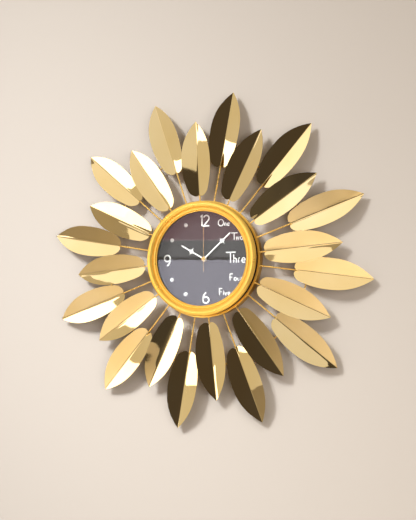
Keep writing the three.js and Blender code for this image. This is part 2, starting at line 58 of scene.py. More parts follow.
MM = 0.001
DIAL_LOW, DIAL_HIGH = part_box("dial")
AXIS_Z = (DIAL_LOW.z + DIAL_HIGH.z) / 2        # the hands turn about x = 0, z = AXIS_Z
AXIS = Vector((0, 0, AXIS_Z))
DIAL_FACE = -DIAL_LOW.y / MM                   # depth of the dial's face

PETALS_PER_LAYER = 12
PETAL_NAMES = [f"petal_{layer}_{i + 1:02d}" for i in range(PETALS_PER_LAYER) for layer in ("outer", "inner")]

# ---- camera ----

CAMERA_AZIMUTH = math.radians(19.5)
CAMERA_ELEVATION = math.radians(-5)
CAMERA_DISTANCE = 2.1
CAMERA_LENS = 68.3                             # mm, on a sensor 36 mm high


def camera():
    data = bpy.data.cameras.new("camera")
    data.sensor_fit = "VERTICAL"
    data.sensor_height = 36
    data.lens = CAMERA_LENS
    view = bpy.data.objects.new("camera", data)
    level = math.cos(CAMERA_ELEVATION)
    back = Vector((
        math.sin(CAMERA_AZIMUTH) * level, -math.cos(CAMERA_AZIMUTH) * level, math.sin(CAMERA_ELEVATION),
    ))
    view.location = AXIS + CAMERA_DISTANCE * back
    view.rotation_euler = (-back).to_track_quat("-Z", "Y").to_euler()
    bpy.context.scene.collection.objects.link(view)
    bpy.context.scene.camera = view


camera()

# ---- materials ----


class Finish:
    """A procedural material: a Principled shader fed by noise, cells and ramps in the row frame."""

    def __init__(self, name, color, roughness, metallic):
        self.material = bpy.data.materials.new(name)
        self.material.use_nodes = True
        self.tree = self.material.node_tree
        self.shader = self.tree.nodes["Principled BSDF"]
        self.set("Base Color", (*color, 1))
        self.set("Roughness", roughness)
        self.set("Metallic", metallic)
        self.place = self.tree.nodes.new("ShaderNodeTexCoord").outputs["Object"]

    def set(self, socket, value):
        self.shader.inputs[socket].default_value = value

    def link(self, source, target):
        self.tree.links.new(source, target)

    def node(self, kind, **settings):
        made = self.tree.nodes.new(kind)
        for key, value in settings.items():
            setattr(made, key, value)
        return made

    def stretched(self, scale):
        mapping = self.node("ShaderNodeMapping")
        mapping.inputs["Scale"].default_value = scale
        self.link(self.place, mapping.inputs["Vector"])
        return mapping.outputs["Vector"]

    def noise(self, scale, detail=3.0, roughness=0.5, at=None):
        made = self.node("ShaderNodeTexNoise")
        made.inputs["Scale"].default_value = scale
        made.inputs["Detail"].default_value = detail
        made.inputs["Roughness"].default_value = roughness
        self.link(at or self.place, made.inputs["Vector"])
        return made.outputs["Fac"]

    def cells(self, scale):
        made = self.node("ShaderNodeTexVoronoi")
        made.inputs["Scale"].default_value = scale
        self.link(self.place, made.inputs["Vector"])
        return made.outputs["Distance"]

    def ramp(self, source, stops):
        """stops are (place, value or colour)."""
        made = self.node("ShaderNodeValToRGB")
        elements = made.color_ramp.elements
        while len(elements) < len(stops):
            elements.new(0.5)
        for element, (place, value) in zip(elements, stops):
            element.position = place
            element.color = (value, value, value, 1) if isinstance(value, (int, float)) else (*value, 1)
        self.link(source, made.inputs["Fac"])
        return made.outputs["Color"]

    def math(self, operation, first, second):
        made = self.node("ShaderNodeMath", operation=operation)
        for socket, value in zip(made.inputs, (first, second)):
            if isinstance(value, (int, float)):
                socket.default_value = value
            else:
                self.link(value, socket)
        return made.outputs["Value"]

    def radius(self):
        """Distance from the hands' axis, in metres."""
        split = self.node("ShaderNodeSeparateXYZ")
        self.link(self.place, split.inputs["Vector"])
        from_axis = self.math("SUBTRACT", split.outputs["Z"], AXIS_Z)
        square = self.math("MULTIPLY", from_axis, from_axis)
        across = self.math("MULTIPLY", split.outputs["X"], split.outputs["X"])
        return self.math("SQRT", self.math("ADD", square, across), 0)

    def color(self, source, stops):
        self.link(self.ramp(source, stops), self.shader.inputs["Base Color"])
        return self

    def rough(self, source, low, high):
        self.link(self.ramp(source, [(0.3, low), (0.7, high)]), self.shader.inputs["Roughness"])
        return self

    def bump(self, source, height):
        made = self.node("ShaderNodeBump")
        made.inputs["Distance"].default_value = height
        self.link(source, made.inputs["Height"])
        self.link(made.outputs["Normal"], self.shader.inputs["Normal"])
        return self


def mirror_gold():
    """Plated sheet: a clean mirror, deeper in colour in places, with a slow unevenness and faint haze."""
    f = Finish("mirror_gold", (0.95, 0.76, 0.42), 0.02, 1)
    f.color(f.noise(7, 3), [(0.3, (0.92, 0.71, 0.35)), (0.7, (0.98, 0.80, 0.47))])
    f.rough(f.noise(60, 4), 0.008, 0.035)
    f.bump(f.noise(16, 1), 0.3 * MM)
    return f.material


def satin_gold():
    """Gold plating over a spun part: a soft even lustre, a little deeper in colour in places."""
    f = Finish("satin_gold", (1.0, 0.62, 0.11), 0.3, 0.75)
    f.color(f.noise(12, 2), [(0.3, (0.98, 0.59, 0.10)), (0.7, (1.0, 0.65, 0.14))])
    f.rough(f.noise(25, 2), 0.27, 0.33)
    return f.material


def wire_gold():
    """Drawn wire, plated: smooth and bright, a little deeper in colour in places."""
    f = Finish("wire_gold", (1.0, 0.66, 0.18), 0.32, 0.7)
    f.color(f.noise(30, 3), [(0.3, (0.99, 0.62, 0.15)), (0.7, (1.0, 0.70, 0.22))])
    f.rough(f.noise(120, 3), 0.24, 0.36)
    return f.material


def drum_gold():
    """Brushed plating on the case: lines that run round it."""
    f = Finish("drum_gold", (0.80, 0.50, 0.12), 0.34, 1)
    f.color(f.noise(24, 4), [(0.3, (0.70, 0.41, 0.09)), (0.7, (0.86, 0.56, 0.15))])
    lines = f.noise(60, 3, 0.6, f.stretched((1, 60, 1)))
    f.rough(lines, 0.26, 0.46)
    f.bump(lines, 0.03 * MM)
    return f.material


def braze():
    """A bead of braze: lumpy, with a dull skin of plating."""
    f = Finish("braze", (0.86, 0.58, 0.17), 0.35, 1)
    f.color(f.noise(300, 4), [(0.3, (0.66, 0.40, 0.10)), (0.7, (0.93, 0.68, 0.26))])
    f.rough(f.noise(500, 3), 0.25, 0.5)
    f.bump(f.noise(900, 3), 0.12 * MM)
    return f.material


def enamel(name, dark, light, roughness):
    """Sprayed paint: faint orange peel and a slightly uneven coat."""
    f = Finish(name, light, roughness, 0)
    f.color(f.noise(30, 5), [(0.3, dark), (0.7, light)])
    f.rough(f.noise(180, 3), roughness * 0.8, min(1, roughness * 1.25))
    f.bump(f.noise(900, 2), 0.02 * MM)
    return f.material


def dial_enamel():
    """Charcoal enamel with a fine metallic fleck and faint rings from turning."""
    f = Finish("dial_enamel", (0.02, 0.02, 0.023), 0.4, 0.15)
    rings = f.math("SINE", f.math("MULTIPLY", f.radius(), 9000), 0)
    f.color(f.noise(1400, 2), [(0.3, (0.018, 0.018, 0.020)), (0.7, (0.026, 0.026, 0.029))])
    f.rough(f.noise(120, 4), 0.38, 0.48)
    f.bump(rings, 0.001 * MM)
    return f.material


def moulded(name, dark, light, roughness, texture=0.08 * MM):
    """Spark-eroded moulded plastic: a fine even texture with flow marks."""
    f = Finish(name, light, roughness, 0)
    f.color(f.noise(45, 4), [(0.3, dark), (0.7, light)])
    f.rough(f.noise(260, 3), roughness * 0.85, min(1, roughness * 1.2))
    f.bump(f.cells(1800), texture)
    return f.material


def machined(name, dark, light, roughness):
    """Metal with turning or rolling lines and a little tarnish."""
    f = Finish(name, light, roughness, 1)
    f.color(f.noise(90, 5), [(0.3, dark), (0.7, light)])
    lines = f.noise(150, 3, 0.6, f.stretched((1, 40, 1)))
    f.rough(lines, roughness * 0.7, min(1, roughness * 1.4))
    f.bump(lines, 0.02 * MM)
    return f.material


def winding():
    """Fine enamelled wire wound in even turns, with painted shade in the hollows between them."""
    f = Finish("copper_winding", (0.75, 0.36, 0.16), 0.3, 1)
    split = f.node("ShaderNodeSeparateXYZ")
    f.link(f.place, split.inputs["Vector"])
    turns_and_shade = f.math("SINE", f.math("MULTIPLY", split.outputs["X"], 30000), 0)
    # painted shade: the wire's colour darkens to a deep brown in the hollows between turns and stays copper
    # on their crests
    f.color(turns_and_shade, [(0.2, (0.34, 0.12, 0.05)), (0.8, (0.84, 0.44, 0.2))])
    f.bump(turns_and_shade, 0.05 * MM)
    return f.material


def solder_mask():
    """A circuit board: green lacquer over faint copper tracks."""
    f = Finish("solder_mask", (0.03, 0.16, 0.07), 0.35, 0)
    tracks = f.cells(420)
    f.color(tracks, [(0.25, (0.02, 0.11, 0.05)), (0.3, (0.05, 0.24, 0.10))])
    f.rough(f.noise(300, 3), 0.28, 0.42)
    f.bump(tracks, 0.06 * MM)
    return f.material


def battery_sleeve():
    """A plain cell: blue printed film with a silver band by the raised terminal."""
    f = Finish("battery_sleeve", (0.05, 0.12, 0.30), 0.25, 0.4)
    split = f.node("ShaderNodeSeparateXYZ")
    f.link(f.place, split.inputs["Vector"])
    low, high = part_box("battery")
    along = f.node("ShaderNodeMapRange")
    f.link(split.outputs["X"], along.inputs["Value"])
    along.inputs["From Min"].default_value = low.x
    along.inputs["From Max"].default_value = high.x
    silver = (0.62, 0.63, 0.65)
    f.color(along.outputs["Result"], [
        (0.0, silver), (0.03, (0.04, 0.10, 0.28)), (0.70, (0.06, 0.15, 0.36)), (0.72, silver),
    ])
    f.rough(f.noise(220, 4), 0.18, 0.34)
    f.bump(f.noise(500, 2), 0.02 * MM)
    return f.material


def clear_glass():
    """Flat float glass seen through. Both faces mirror alike, by Schlick's rule, under a breath of dust."""
    material = bpy.data.materials.new("clear_glass")
    material.use_nodes = True
    tree = material.node_tree
    tree.nodes.clear()
    out = tree.nodes.new("ShaderNodeOutputMaterial")
    blend = tree.nodes.new("ShaderNodeMixShader")
    through = tree.nodes.new("ShaderNodeBsdfTransparent")
    through.inputs["Color"].default_value = (0.965, 0.975, 0.97, 1)
    mirror = tree.nodes.new("ShaderNodeBsdfGlossy")
    facing = tree.nodes.new("ShaderNodeLayerWeight")
    steep = tree.nodes.new("ShaderNodeMath")
    steep.operation = "POWER"
    steep.inputs[1].default_value = 5
    share = tree.nodes.new("ShaderNodeMapRange")
    share.inputs["To Min"].default_value = 0.043
    place = tree.nodes.new("ShaderNodeTexCoord")
    dust = tree.nodes.new("ShaderNodeTexNoise")
    dust.inputs["Scale"].default_value = 40
    haze = tree.nodes.new("ShaderNodeMapRange")
    haze.inputs["To Min"].default_value = 0.004
    haze.inputs["To Max"].default_value = 0.03
    tree.links.new(place.outputs["Object"], dust.inputs["Vector"])
    tree.links.new(dust.outputs["Fac"], haze.inputs["Value"])
    tree.links.new(haze.outputs["Result"], mirror.inputs["Roughness"])
    tree.links.new(facing.outputs["Facing"], steep.inputs[0])
    tree.links.new(steep.outputs["Value"], share.inputs["Value"])
    tree.links.new(share.outputs["Result"], blend.inputs["Fac"])
    tree.links.new(through.outputs["BSDF"], blend.inputs[1])
    tree.links.new(mirror.outputs["BSDF"], blend.inputs[2])
    tree.links.new(blend.outputs["Shader"], out.inputs["Surface"])
    return material


def crystal():
    """A foiled glass stone: milky bright facets over a silver back."""
    f = Finish("crystal", (0.94, 0.94, 0.96), 0.12, 0.1)
    f.color(f.cells(700), [(0.2, (0.86, 0.87, 0.90)), (0.6, (0.97, 0.97, 0.98))])
    f.rough(f.noise(600, 2), 0.08, 0.18)
    return f.material


MATERIALS = {
    "polished_gold": mirror_gold(),
    "satin_gold": satin_gold(),
    "black_enamel": enamel("black_enamel", (0.014, 0.014, 0.015), (0.026, 0.026, 0.028), 0.42),
    "dial_enamel": dial_enamel(),
    "white_enamel": enamel("white_enamel", (0.90, 0.90, 0.89), (0.96, 0.96, 0.95), 0.35),
    "lens_glass": clear_glass(),
    "stud_crystal": crystal(),
    "black_plastic": moulded("black_plastic", (0.034, 0.034, 0.036), (0.050, 0.050, 0.053), 0.5),
    "nylon": moulded("nylon", (0.70, 0.68, 0.60), (0.80, 0.78, 0.71), 0.42, 0.03 * MM),
    "bright_steel": machined("bright_steel", (0.45, 0.46, 0.48), (0.66, 0.67, 0.70), 0.3),
    "brass": machined("brass", (0.62, 0.42, 0.13), (0.84, 0.62, 0.25), 0.25),
    "rubber": moulded("rubber", (0.010, 0.010, 0.010), (0.018, 0.018, 0.018), 0.75),
    "board": solder_mask(),
    "copper_wire": winding(),
    "battery_can": battery_sleeve(),
}
WIRE_GOLD = wire_gold()
DRUM_GOLD = drum_gold()
BRAZE = braze()

# ---- mesh tools ----


def make(name, vertices, faces, material, slot, sharp=35):
    """A piece riding on the root body, shaded smooth except at edges sharper than the angle."""
    mesh = bpy.data.meshes.new(name)
    mesh.from_pydata([tuple(v) for v in vertices], [], faces)
    solid = bmesh.new()
    solid.from_mesh(mesh)
    bmesh.ops.remove_doubles(solid, verts=solid.verts, dist=1e-7)
    bmesh.ops.recalc_face_normals(solid, faces=solid.faces)
    solid.to_mesh(mesh)
    solid.free()
    mesh.shade_smooth()
    mesh.set_sharp_from_angle(angle=math.radians(sharp))
    mesh.materials.append(material)
    piece = bpy.data.objects.new(name, mesh)
    bpy.context.scene.collection.objects.link(piece)
    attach(piece, "root")
    return piece


def merged(name, parts, material, slot):
    """One piece from several (vertices, faces) shells."""
    vertices, faces = [], []
    for points, polygons in parts:
        start = len(vertices)
        vertices.extend(points)
        faces.extend(tuple(start + i for i in polygon) for polygon in polygons)
    return make(name, vertices, faces, material, slot)


def arc(x, y, rx, ry, start, end, steps=20):
    """Points on an ellipse, from one angle to another in degrees, anticlockwise if end is larger."""
    angles = [math.radians(start + (end - start) * i / steps) for i in range(steps + 1)]
    return [(x + rx * math.cos(a), y + ry * math.sin(a)) for a in angles]


def rounded(profile, radius, steps=5):
    """A closed profile with each corner rounded to a radius, or less where its edges are short."""
    result = []
    count = len(profile)
    for i, corner in enumerate(profile):
        here = Vector(corner[:2])
        before = Vector(profile[i - 1][:2]) - here
        after = Vector(profile[(i + 1) % count][:2]) - here
        reach = min(radius, before.length * 0.45, after.length * 0.45)
        start = here + before.normalized() * reach
        end = here + after.normalized() * reach
        for step in range(steps + 1):
            t = step / steps
            result.append(tuple((1 - t) ** 2 * start + 2 * t * (1 - t) * here + t ** 2 * end))
    return result


def lathe(profile, segments=192):
    """Turns a closed profile of (radius, depth) corners, in millimetres, about the hands' axis."""
    vertices, faces = [], []
    for k in range(segments):
        angle = 2 * math.pi * k / segments
        for radius, depth in profile:
            x, z = radius * MM * math.sin(angle), radius * MM * math.cos(angle)
            vertices.append((x, -depth * MM, AXIS_Z + z))
    rows = len(profile)
    for k in range(segments):
        here, there = k * rows, (k + 1) % segments * rows
        for i in range(rows):
            j = (i + 1) % rows
            faces.append((here + i, here + j, there + j, there + i))
    return vertices, faces


def tube(path, radii):
    """A round rod along a path of points in metres, with its own radius at each and flat ends."""
    vertices, faces = [], []
    sides = 16
    last = len(path) - 1
    tangents = [(path[min(i + 1, last)] - path[max(i - 1, 0)]).normalized() for i in range(last + 1)]
    across = tangents[0].orthogonal().normalized()
    for point, tangent, radius in zip(path, tangents, radii):
        across = (across - tangent * across.dot(tangent)).normalized()
        other = tangent.cross(across)
        for k in range(sides):
            angle = 2 * math.pi * k / sides
            vertices.append(point + radius * (math.cos(angle) * across + math.sin(angle) * other))
    for i in range(last):
        for k in range(sides):
            k2 = (k + 1) % sides
            faces.append((i * sides + k, i * sides + k2, (i + 1) * sides + k2, (i + 1) * sides + k))
    faces.append(tuple(range(sides))[::-1])
    faces.append(tuple(last * sides + k for k in range(sides)))
    return vertices, faces


def bead(centre, normal, along, size):
    """A squashed, slightly lumpy blob: size is its half length, half width and half height."""
    normal, along = normal.normalized(), along.normalized()
    across = normal.cross(along)
    vertices, faces = [], []
    rings, sides = 6, 14
    for i in range(rings + 1):
        up = math.pi * i / rings
        for k in range(sides):
            around = 2 * math.pi * k / sides
            offset = (
                along * size[0] * math.sin(up) * math.cos(around)
                + across * size[1] * math.sin(up) * math.sin(around)
                + normal * size[2] * math.cos(up)
            )
            lump = 1 + 0.12 * noise.noise((centre + offset) * 900)
            vertices.append(centre + offset * lump)
    for i in range(rings):
        for k in range(sides):
            k2 = (k + 1) % sides
            faces.append((i * sides + k, i * sides + k2, (i + 1) * sides + k2, (i + 1) * sides + k))
    return vertices, faces


def eased(count):
    """count + 1 values from 0 to 1, closer together at both ends."""
    return [0.5 - 0.5 * math.cos(math.pi * i / count) for i in range(count + 1)]


# ---- petals ----

SHEET = 0.8 * MM
WIRE = 1.5 * MM                  # radius of the stems and the support ring
CREASE_ROUND = 0.6 * MM          # how softly the midrib is folded
CAD_START = -1.6 * MM            # the CAD leaf's first row, measured along the leaf from its pivot
LOBE_LOW = -1.6 * MM             # the bottoms of the two lobes at the base
CLEFT = 4.5 * MM                 # depth of the notch between them
CLEFT_SHARE = 0.36               # of the half width
LOBE_ROUND = 13 * MM             # how far a lobe's outer side curves up the leaf
FLAT_BY_CREASE = 6 * MM          # the warp fades out over this distance from the midrib
WIDEST = 0.44                    # share of the length at which the leaf is fullest
ROOT_RADIUS = 120                # mm from the hands' axis to where a stem starts
LEAN_BACK = math.radians(2.5)    # slope of the stems towards the wall


class Leaf:
    """The frame of one petal, read from its CAD node."""

    def __init__(self, name):
        corners = np.array([v.co for v in nodes[name].data.vertices])
        corners = np.unique(np.round(corners, 6), axis=0)
        middle = corners.mean(axis=0)
        spread = np.linalg.svd(corners - middle)[2]
        width = Vector(spread[1])
        crease = corners[np.abs((corners - middle) @ np.array(width)) < 0.2 * MM]
        back = crease[crease[:, 1] > np.median(crease[:, 1]) - 1]
        distance = np.hypot(back[:, 0], back[:, 2] - AXIS_Z)
        near = [Vector(p) for p in back[np.argsort(distance)[:2]]]
        far = [Vector(p) for p in back[np.argsort(distance)[-2:]]]
        base = max(near, key=lambda p: p.y)
        tip = max(far, key=lambda p: p.y)
        self.along = (tip - base).normalized()
        clockwise = Vector((0, 1, 0)).cross(Vector((base.x, 0, base.z - AXIS_Z)))
        self.across = width if width.dot(clockwise) > 0 else -width
        self.front = self.across.cross(self.along)
        if self.front.y > 0:
            self.front = -self.front
        self.pivot = base - self.along * CAD_START
        self.length = (tip - self.pivot).length
        offsets = corners - np.array(self.pivot)
        self.half_width = float(np.abs(offsets @ np.array(self.across)).max())
        rise = offsets @ np.array(self.front)
        self.slope = (float(rise.max()) - SHEET) / self.half_width

    def at(self, across, front, along):
        """The point at these distances from the pivot, in metres."""
        return self.pivot + self.across * across + self.front * front + self.along * along

    def half(self, along):
        """Half width of the leaf: fullest before its middle, pointed at the tip."""
        t = along / self.length
        to_tip = max(0.0, (t - WIDEST) / (1 - WIDEST))
        to_base = max(0.0, (WIDEST - t) / WIDEST)
        return self.half_width * max(0.0, 1 - to_tip ** 2.45 - 0.445 * to_base ** 2)

    def height(self, across):
        """How far the folded sheet's back stands in front of the crease."""
        return self.slope * (math.sqrt(across ** 2 + CREASE_ROUND ** 2) - CREASE_ROUND)


LEAVES = {name: Leaf(name) for name in PETAL_NAMES}


def base_edge(share):
    """How far up the leaf its base edge lies, at a share of the half width from the midrib."""
    if share < CLEFT_SHARE:
        return LOBE_LOW + CLEFT * (1 - share / CLEFT_SHARE) ** 2
    out = (share - CLEFT_SHARE) / (1 - CLEFT_SHARE)
    return LOBE_LOW + LOBE_ROUND * (1 - math.sqrt(1 - out ** 2))


def petal(name):
    """A leaf of mirror sheet folded on its midrib, with two round lobes at the base and a faint warp."""
    leaf = LEAVES[name]
    seed = Vector((PETAL_NAMES.index(name) * 7.3, 0, 0))
    half_columns = eased(16)
    shares = [-s for s in reversed(half_columns[1:])] + half_columns
    rows = eased(64)
    thickness = SHEET * math.sqrt(1 + leaf.slope ** 2)
    back, front = [], []
    for row in rows:
        for share in shares:
            low = base_edge(abs(share))
            along = low + (leaf.length - low) * row
            across = share * leaf.half(along)
            spot = Vector((across, along, 0))
            warp = noise.noise(spot * 22 + seed) * 0.16 * MM
            warp += noise.noise(spot * 8 + seed) * 0.5 * MM
            warp *= min(1, abs(across) / FLAT_BY_CREASE)
            rise = leaf.height(across) + warp
            back.append(leaf.at(across, rise, along))
            front.append(leaf.at(across, rise + thickness, along))
    wide = len(shares)
    count = len(back)
    faces = []
    for r in range(len(rows) - 1):
        for c in range(wide - 1):
            a, b = r * wide + c, r * wide + c + 1
            faces.append((a, b, b + wide, a + wide))
            faces.append((count + a, count + a + wide, count + b + wide, count + b))
    rim = list(range(wide)) + [r * wide + wide - 1 for r in range(1, len(rows))]
    rim += [r * wide for r in range(len(rows) - 2, 0, -1)]
    for a, b in zip(rim, rim[1:] + rim[:1]):
        faces.append((a, b, count + b, count + a))
    piece = make(f"{name}_leaf", back + front, faces, MATERIALS["polished_gold"], "polished_gold", sharp=50)
    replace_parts(piece, name)


for petal_name in PETAL_NAMES:
    petal(petal_name)

# ---- wire frame ----

HUB_BAND = [(119, 19.7), (121.5, 19.7), (121.5, 27.5), (123.5, 27.5), (123.5, 29), (119, 29)]
OUTER_ROOT_DEPTH = 21.5          # mm from the wall to the outer stems' roots
SUPPORT_RADIUS = 224             # mm from the hands' axis to the middle of the support ring
SUPPORT_BEHIND = 2.5             # mm from the stems' middle back to the ring's
STEM_GAP = 0.3 * MM              # air between a stem and the leaf in front of it
STEM_SHARE = 0.62                # share of the leaf's length that its stem backs
TACKS = (0.08, 0.3, 0.56)        # shares of the leaf's length at which it is brazed to its stem
ROOT_FLARE = [(0, 1.0), (1.6, 1.0), (2.2, 0.75), (3.2, 0.35), (4.8, 0.08), (7, 0)]
TIP_DOME = [(0.7, 0.88), (1.15, 0.6), (1.4, 0.15)]


def stem_path(leaf):
    """A stem's line from the hub band to the leaf's base and on behind it, and its radius at each point.

    ROOT_FLARE is the braze at the root: how far out, and what it adds to the radius, in mm. TIP_DOME
    rounds the end off: how far past it, in mm, and the share of the radius that is left. Where the two
    runs meet they are joined by a short curve, which is straight as long as they line up.
    """
    behind = -(WIRE + STEM_GAP)
    base = leaf.at(0, behind, 0)
    radial = Vector((base.x, 0, base.z - AXIS_Z))
    run_out = radial.length - ROOT_RADIUS * MM
    radial.normalize()
    root = base - radial * run_out + Vector((0, -math.tan(LEAN_BACK) * run_out, 0))
    end = leaf.at(0, behind, STEM_SHARE * leaf.length)
    into = (base - root).normalized()
    soft = 4 * MM
    steps = 12
    path = [root + into * out * MM for out, _ in ROOT_FLARE]
    run = (base - into * soft) - path[-1]
    path += [path[-1] + run * i / steps for i in range(1, steps)]
    start, finish = base - into * soft, base + leaf.along * soft
    path += [(1 - t) ** 2 * start + 2 * t * (1 - t) * base + t ** 2 * finish for t in (0, 0.25, 0.5, 0.75, 1)]
    path += [finish + (end - finish) * i / steps for i in range(1, steps + 1)]
    path += [end + leaf.along * past * MM for past, _ in TIP_DOME]
    radii = [WIRE + flare * MM for _, flare in ROOT_FLARE]
    radii += [WIRE] * (len(path) - len(ROOT_FLARE) - len(TIP_DOME))
    radii += [WIRE * share for _, share in TIP_DOME]
    return path, radii


def wire_frame():
    stems = merged("stems", [tube(*stem_path(leaf)) for leaf in LEAVES.values()], WIRE_GOLD, "satin_gold")
    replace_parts(stems, "petal_frame")
    make("hub_band", *lathe(rounded(HUB_BAND, 0.5)), MATERIALS["satin_gold"], "satin_gold")
    outer = [leaf for name, leaf in LEAVES.items() if "outer" in name]
    lean = (SUPPORT_RADIUS - ROOT_RADIUS) * math.tan(LEAN_BACK)
    ring_depth = OUTER_ROOT_DEPTH - lean - SUPPORT_BEHIND
    wire = WIRE / MM
    circle = [
        (SUPPORT_RADIUS + wire * math.cos(math.radians(a)), ring_depth + wire * math.sin(math.radians(a)))
        for a in range(0, 360, 20)
    ]
    make("support_ring", *lathe(circle, 256), WIRE_GOLD, "satin_gold")
    beads = []
    for leaf in outer:
        radial = Vector((leaf.pivot.x, 0, leaf.pivot.z - AXIS_Z)).normalized()
        crossing = AXIS + radial * SUPPORT_RADIUS * MM + Vector((0, -(ring_depth + 1.3) * MM, 0))
        beads.append(bead(crossing, Vector((0, 1, 0)), radial, (3.0 * MM, 2.7 * MM, 1.7 * MM)))
    for leaf in LEAVES.values():
        for share in TACKS:
            tack = leaf.at(0, -0.9 * MM, share * leaf.length)
            beads.append(bead(tack, leaf.front, leaf.along, (4.2 * MM, 1.9 * MM, 1.3 * MM)))
    merged("braze_beads", beads, BRAZE, "satin_gold")


wire_frame()

# ---- case ----

DRUM = [
    (116, 0), (121.5, 0), (121.5, 19.4), (106, 19.4), (106, 18.1), (120, 18.1), (120, 1.2), (116, 1.2),
]
SURROUND = [(103.5, 21.4), (117.5, 21.4), (117.5, 22.4), (105, 22.4), (105, 40), (103.5, 40)]


def bezel_profile():
    """Round the bezel's section: inner lip, small bead, two fine grooves and a broad rounded band."""
    profile = [(99.2, 42.9), (99.2, 44.6)]
    profile += arc(99.8, 44.8, 0.6, 0.6, 180, 45, 3)
    profile += [(101.0, 44.7)]
    profile += arc(103.7, 45.2, 2.4, 2.2, 165, 15, 10)
    profile += [(106.7, 45.5), (107.4, 45.9)]
    profile += arc(114.2, 45.4, 6.6, 6.4, 180, -9, 21)
    profile += [(119.0, 40.8), (118.2, 38.4), (117.8, 38), (108.1, 38), (108.1, 42.9)]
    return profile


def case():
    drum = make("case_drum_shell", *lathe(rounded(DRUM, 0.7)), DRUM_GOLD, "satin_gold")
    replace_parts(drum, "case_drum")
    surround = make("dial_sleeve", *lathe(rounded(SURROUND, 0.3)), MATERIALS["black_enamel"], "black_enamel")
    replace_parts(surround, "dial_surround")
    bezel = make("bezel_ring", *lathe(bezel_profile(), 256), MATERIALS["satin_gold"], "satin_gold", sharp=60)
    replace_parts(bezel, "bezel")


case()

# ---- dial ----


def disc(bore, radius, back, front, ease, segments=192):
    """A flat ring between two depths, its edges eased, in millimetres."""
    return lathe(rounded([(bore, back), (radius, back), (radius, front), (bore, front)], ease), segments)


DIAL_BORE = 4.6
DIAL_RADIUS = 117
DIAL_THICKNESS = 1.4
DIAL_DISC = disc(DIAL_BORE, DIAL_RADIUS, DIAL_FACE - DIAL_THICKNESS, DIAL_FACE, 0.2)
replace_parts(make("dial_face", *DIAL_DISC, MATERIALS["dial_enamel"], "dial_enamel"), "dial")

PRINT = 0.12                     # mm that the printed figures stand above the dial


def glyphs():
    """Plain thin letters and figures: each is its width and its strokes, in units of the cap height."""
    return {
        "1": (0.20, [[(0.0, 0.86), (0.16, 1.0), (0.16, 0.0)]]),
        "2": (0.56, [arc(0.27, 0.73, 0.27, 0.27, 165, -38) + [(0.0, 0.0), (0.56, 0.0)]]),
        "6": (0.60, [
            arc(0.30, 0.29, 0.29, 0.29, 0, 360), [(0.01, 0.31)] + arc(0.46, 0.40, 0.445, 0.6, 172, 105, 8),
        ]),
        "9": (0.60, [
            arc(0.29, 0.71, 0.29, 0.29, 0, 360), [(0.58, 0.69)] + arc(0.13, 0.60, 0.445, 0.6, -8, -75, 8),
        ]),
        "O": (0.86, [arc(0.43, 0.5, 0.43, 0.5, 90, 450, 32)]),
        "T": (0.62, [[(0.0, 1.0), (0.98, 1.0)], [(0.46, 1.0), (0.46, 0.0)]]),
        "F": (0.62, [[(0.14, 0.0), (0.14, 1.0), (0.62, 1.0)], [(0.0, 0.5), (0.52, 0.5)]]),
        "h": (0.34, [[(0.03, 0.78), (0.03, 0.0)], arc(0.16, 0.30, 0.13, 0.14, 180, 0, 12) + [(0.29, 0.0)]]),
        "n": (0.34, [[(0.03, 0.44), (0.03, 0.0)], arc(0.16, 0.30, 0.13, 0.14, 180, 0, 12) + [(0.29, 0.0)]]),
        "r": (0.22, [[(0.03, 0.44), (0.03, 0.0)], arc(0.17, 0.28, 0.14, 0.16, 180, 80, 8)]),
        "e": (0.40, [[(0.03, 0.23), (0.35, 0.23)], arc(0.19, 0.22, 0.17, 0.22, 2, 318, 24)]),
        "w": (0.50, [[(0.0, 0.44), (0.12, 0.0), (0.235, 0.38), (0.35, 0.0), (0.47, 0.44)]]),
        "o": (0.44, [arc(0.21, 0.22, 0.19, 0.22, 90, 450, 28)]),
        "u": (0.37, [
            [(0.04, 0.44)] + arc(0.17, 0.14, 0.13, 0.14, 180, 360, 12) + [(0.30, 0.44)],
            [(0.30, 0.44), (0.30, 0.0)],
        ]),
        "i": (0.10, [[(0.04, 0.44), (0.04, 0.0)], arc(0.04, 0.60, 0.012, 0.012, 0, 360, 8)]),
        "v": (0.36, [[(0.0, 0.44), (0.155, 0.0), (0.31, 0.44)]]),
    }


GLYPHS = glyphs()


def ribbon(points, width):
    """A flat closed strip along a stroke, standing PRINT off the dial, as (vertices, faces)."""
    path = [Vector((x, z)) for x, z in points]
    looped = (path[0] - path[-1]).length < 1e-6
    left, right = [], []
    last = len(path) - 1
    for i, point in enumerate(path):
        before = path[i] - path[i - 1] if i else (path[0] - path[-2] if looped else path[1] - path[0])
        after = path[i + 1] - path[i] if i < last else (path[1] - path[0] if looped else path[-1] - path[-2])
        tangent = (before.normalized() + after.normalized()).normalized()
        normal = Vector((-tangent.y, tangent.x))
        stretch = 1 / max(0.5, normal.dot(Vector((-after.y, after.x)).normalized()))
        left.append(point + normal * width / 2 * stretch)
        right.append(point - normal * width / 2 * stretch)
    vertices, faces = [], []
    for depth in (DIAL_FACE, DIAL_FACE + PRINT):
        for side in (left, right):
            vertices += [(p.x * MM, -depth * MM, AXIS_Z + p.y * MM) for p in side]
    n = len(path)
    for i in range(n - 1):
        a, b = i, i + 1
        faces.append((a, n + a, n + b, b))
        faces.append((2 * n + a, 2 * n + b, 3 * n + b, 3 * n + a))
        faces.append((a, b, 2 * n + b, 2 * n + a))
        faces.append((n + a, 3 * n + a, 3 * n + b, n + b))
    if not looped:
        faces.append((0, 2 * n, 3 * n, n))
        faces.append((n - 1, 2 * n - 1, 4 * n - 1, 3 * n - 1))
    return vertices, faces


LETTER_GAP = 0.13                # of the cap height


def text(word, left, base, cap, stroke):
    """The strokes of a word: left end and base line on the dial, in millimetres from the hands' axis."""
    parts = []
    pen = left
    for letter in word:
        width, strokes = GLYPHS[letter]
        for points in strokes:
            parts.append(ribbon([(pen + x * cap, base + y * cap) for x, y in points], stroke))
        pen += (width + LETTER_GAP) * cap
    return parts


